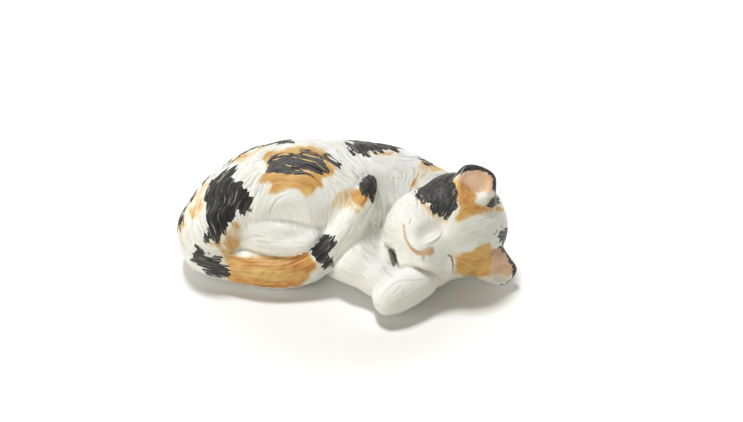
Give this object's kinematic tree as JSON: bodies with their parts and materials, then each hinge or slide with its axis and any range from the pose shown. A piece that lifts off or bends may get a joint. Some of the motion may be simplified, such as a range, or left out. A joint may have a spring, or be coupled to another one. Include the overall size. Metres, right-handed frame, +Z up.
{
  "type": "cat figurine",
  "caption": "Small painted figurine of a curled sleeping cat with a calico coat, head on its paws and tail wrapped round the front, standing on a flat base.",
  "frame": {"origin": "centre of the footprint, on the flat base", "axes": "+X from the rump to the head, +Y from the tail and paws to the back, +Z up"},
  "size_m": [0.0894, 0.0508, 0.0313],
  "materials": {
    "calico_coat": "satin, hand painted white with black and orange patches over incised fur",
    "tail_coat": "satin, hand painted orange, white and black over incised fur",
    "ear_coat": "satin, hand painted pink inside with a black rim"
  },
  "bodies": {
    "root": {"torso": "calico_coat", "haunch": "calico_coat", "hind_foot": "calico_coat", "near_foreleg": "calico_coat", "near_forepaw": "calico_coat", "far_forepaw": "calico_coat", "head": "calico_coat", "muzzle": "calico_coat", "tail": "tail_coat", "upper_ear": "ear_coat", "lower_ear": "ear_coat"}
  },
  "joints": []
}
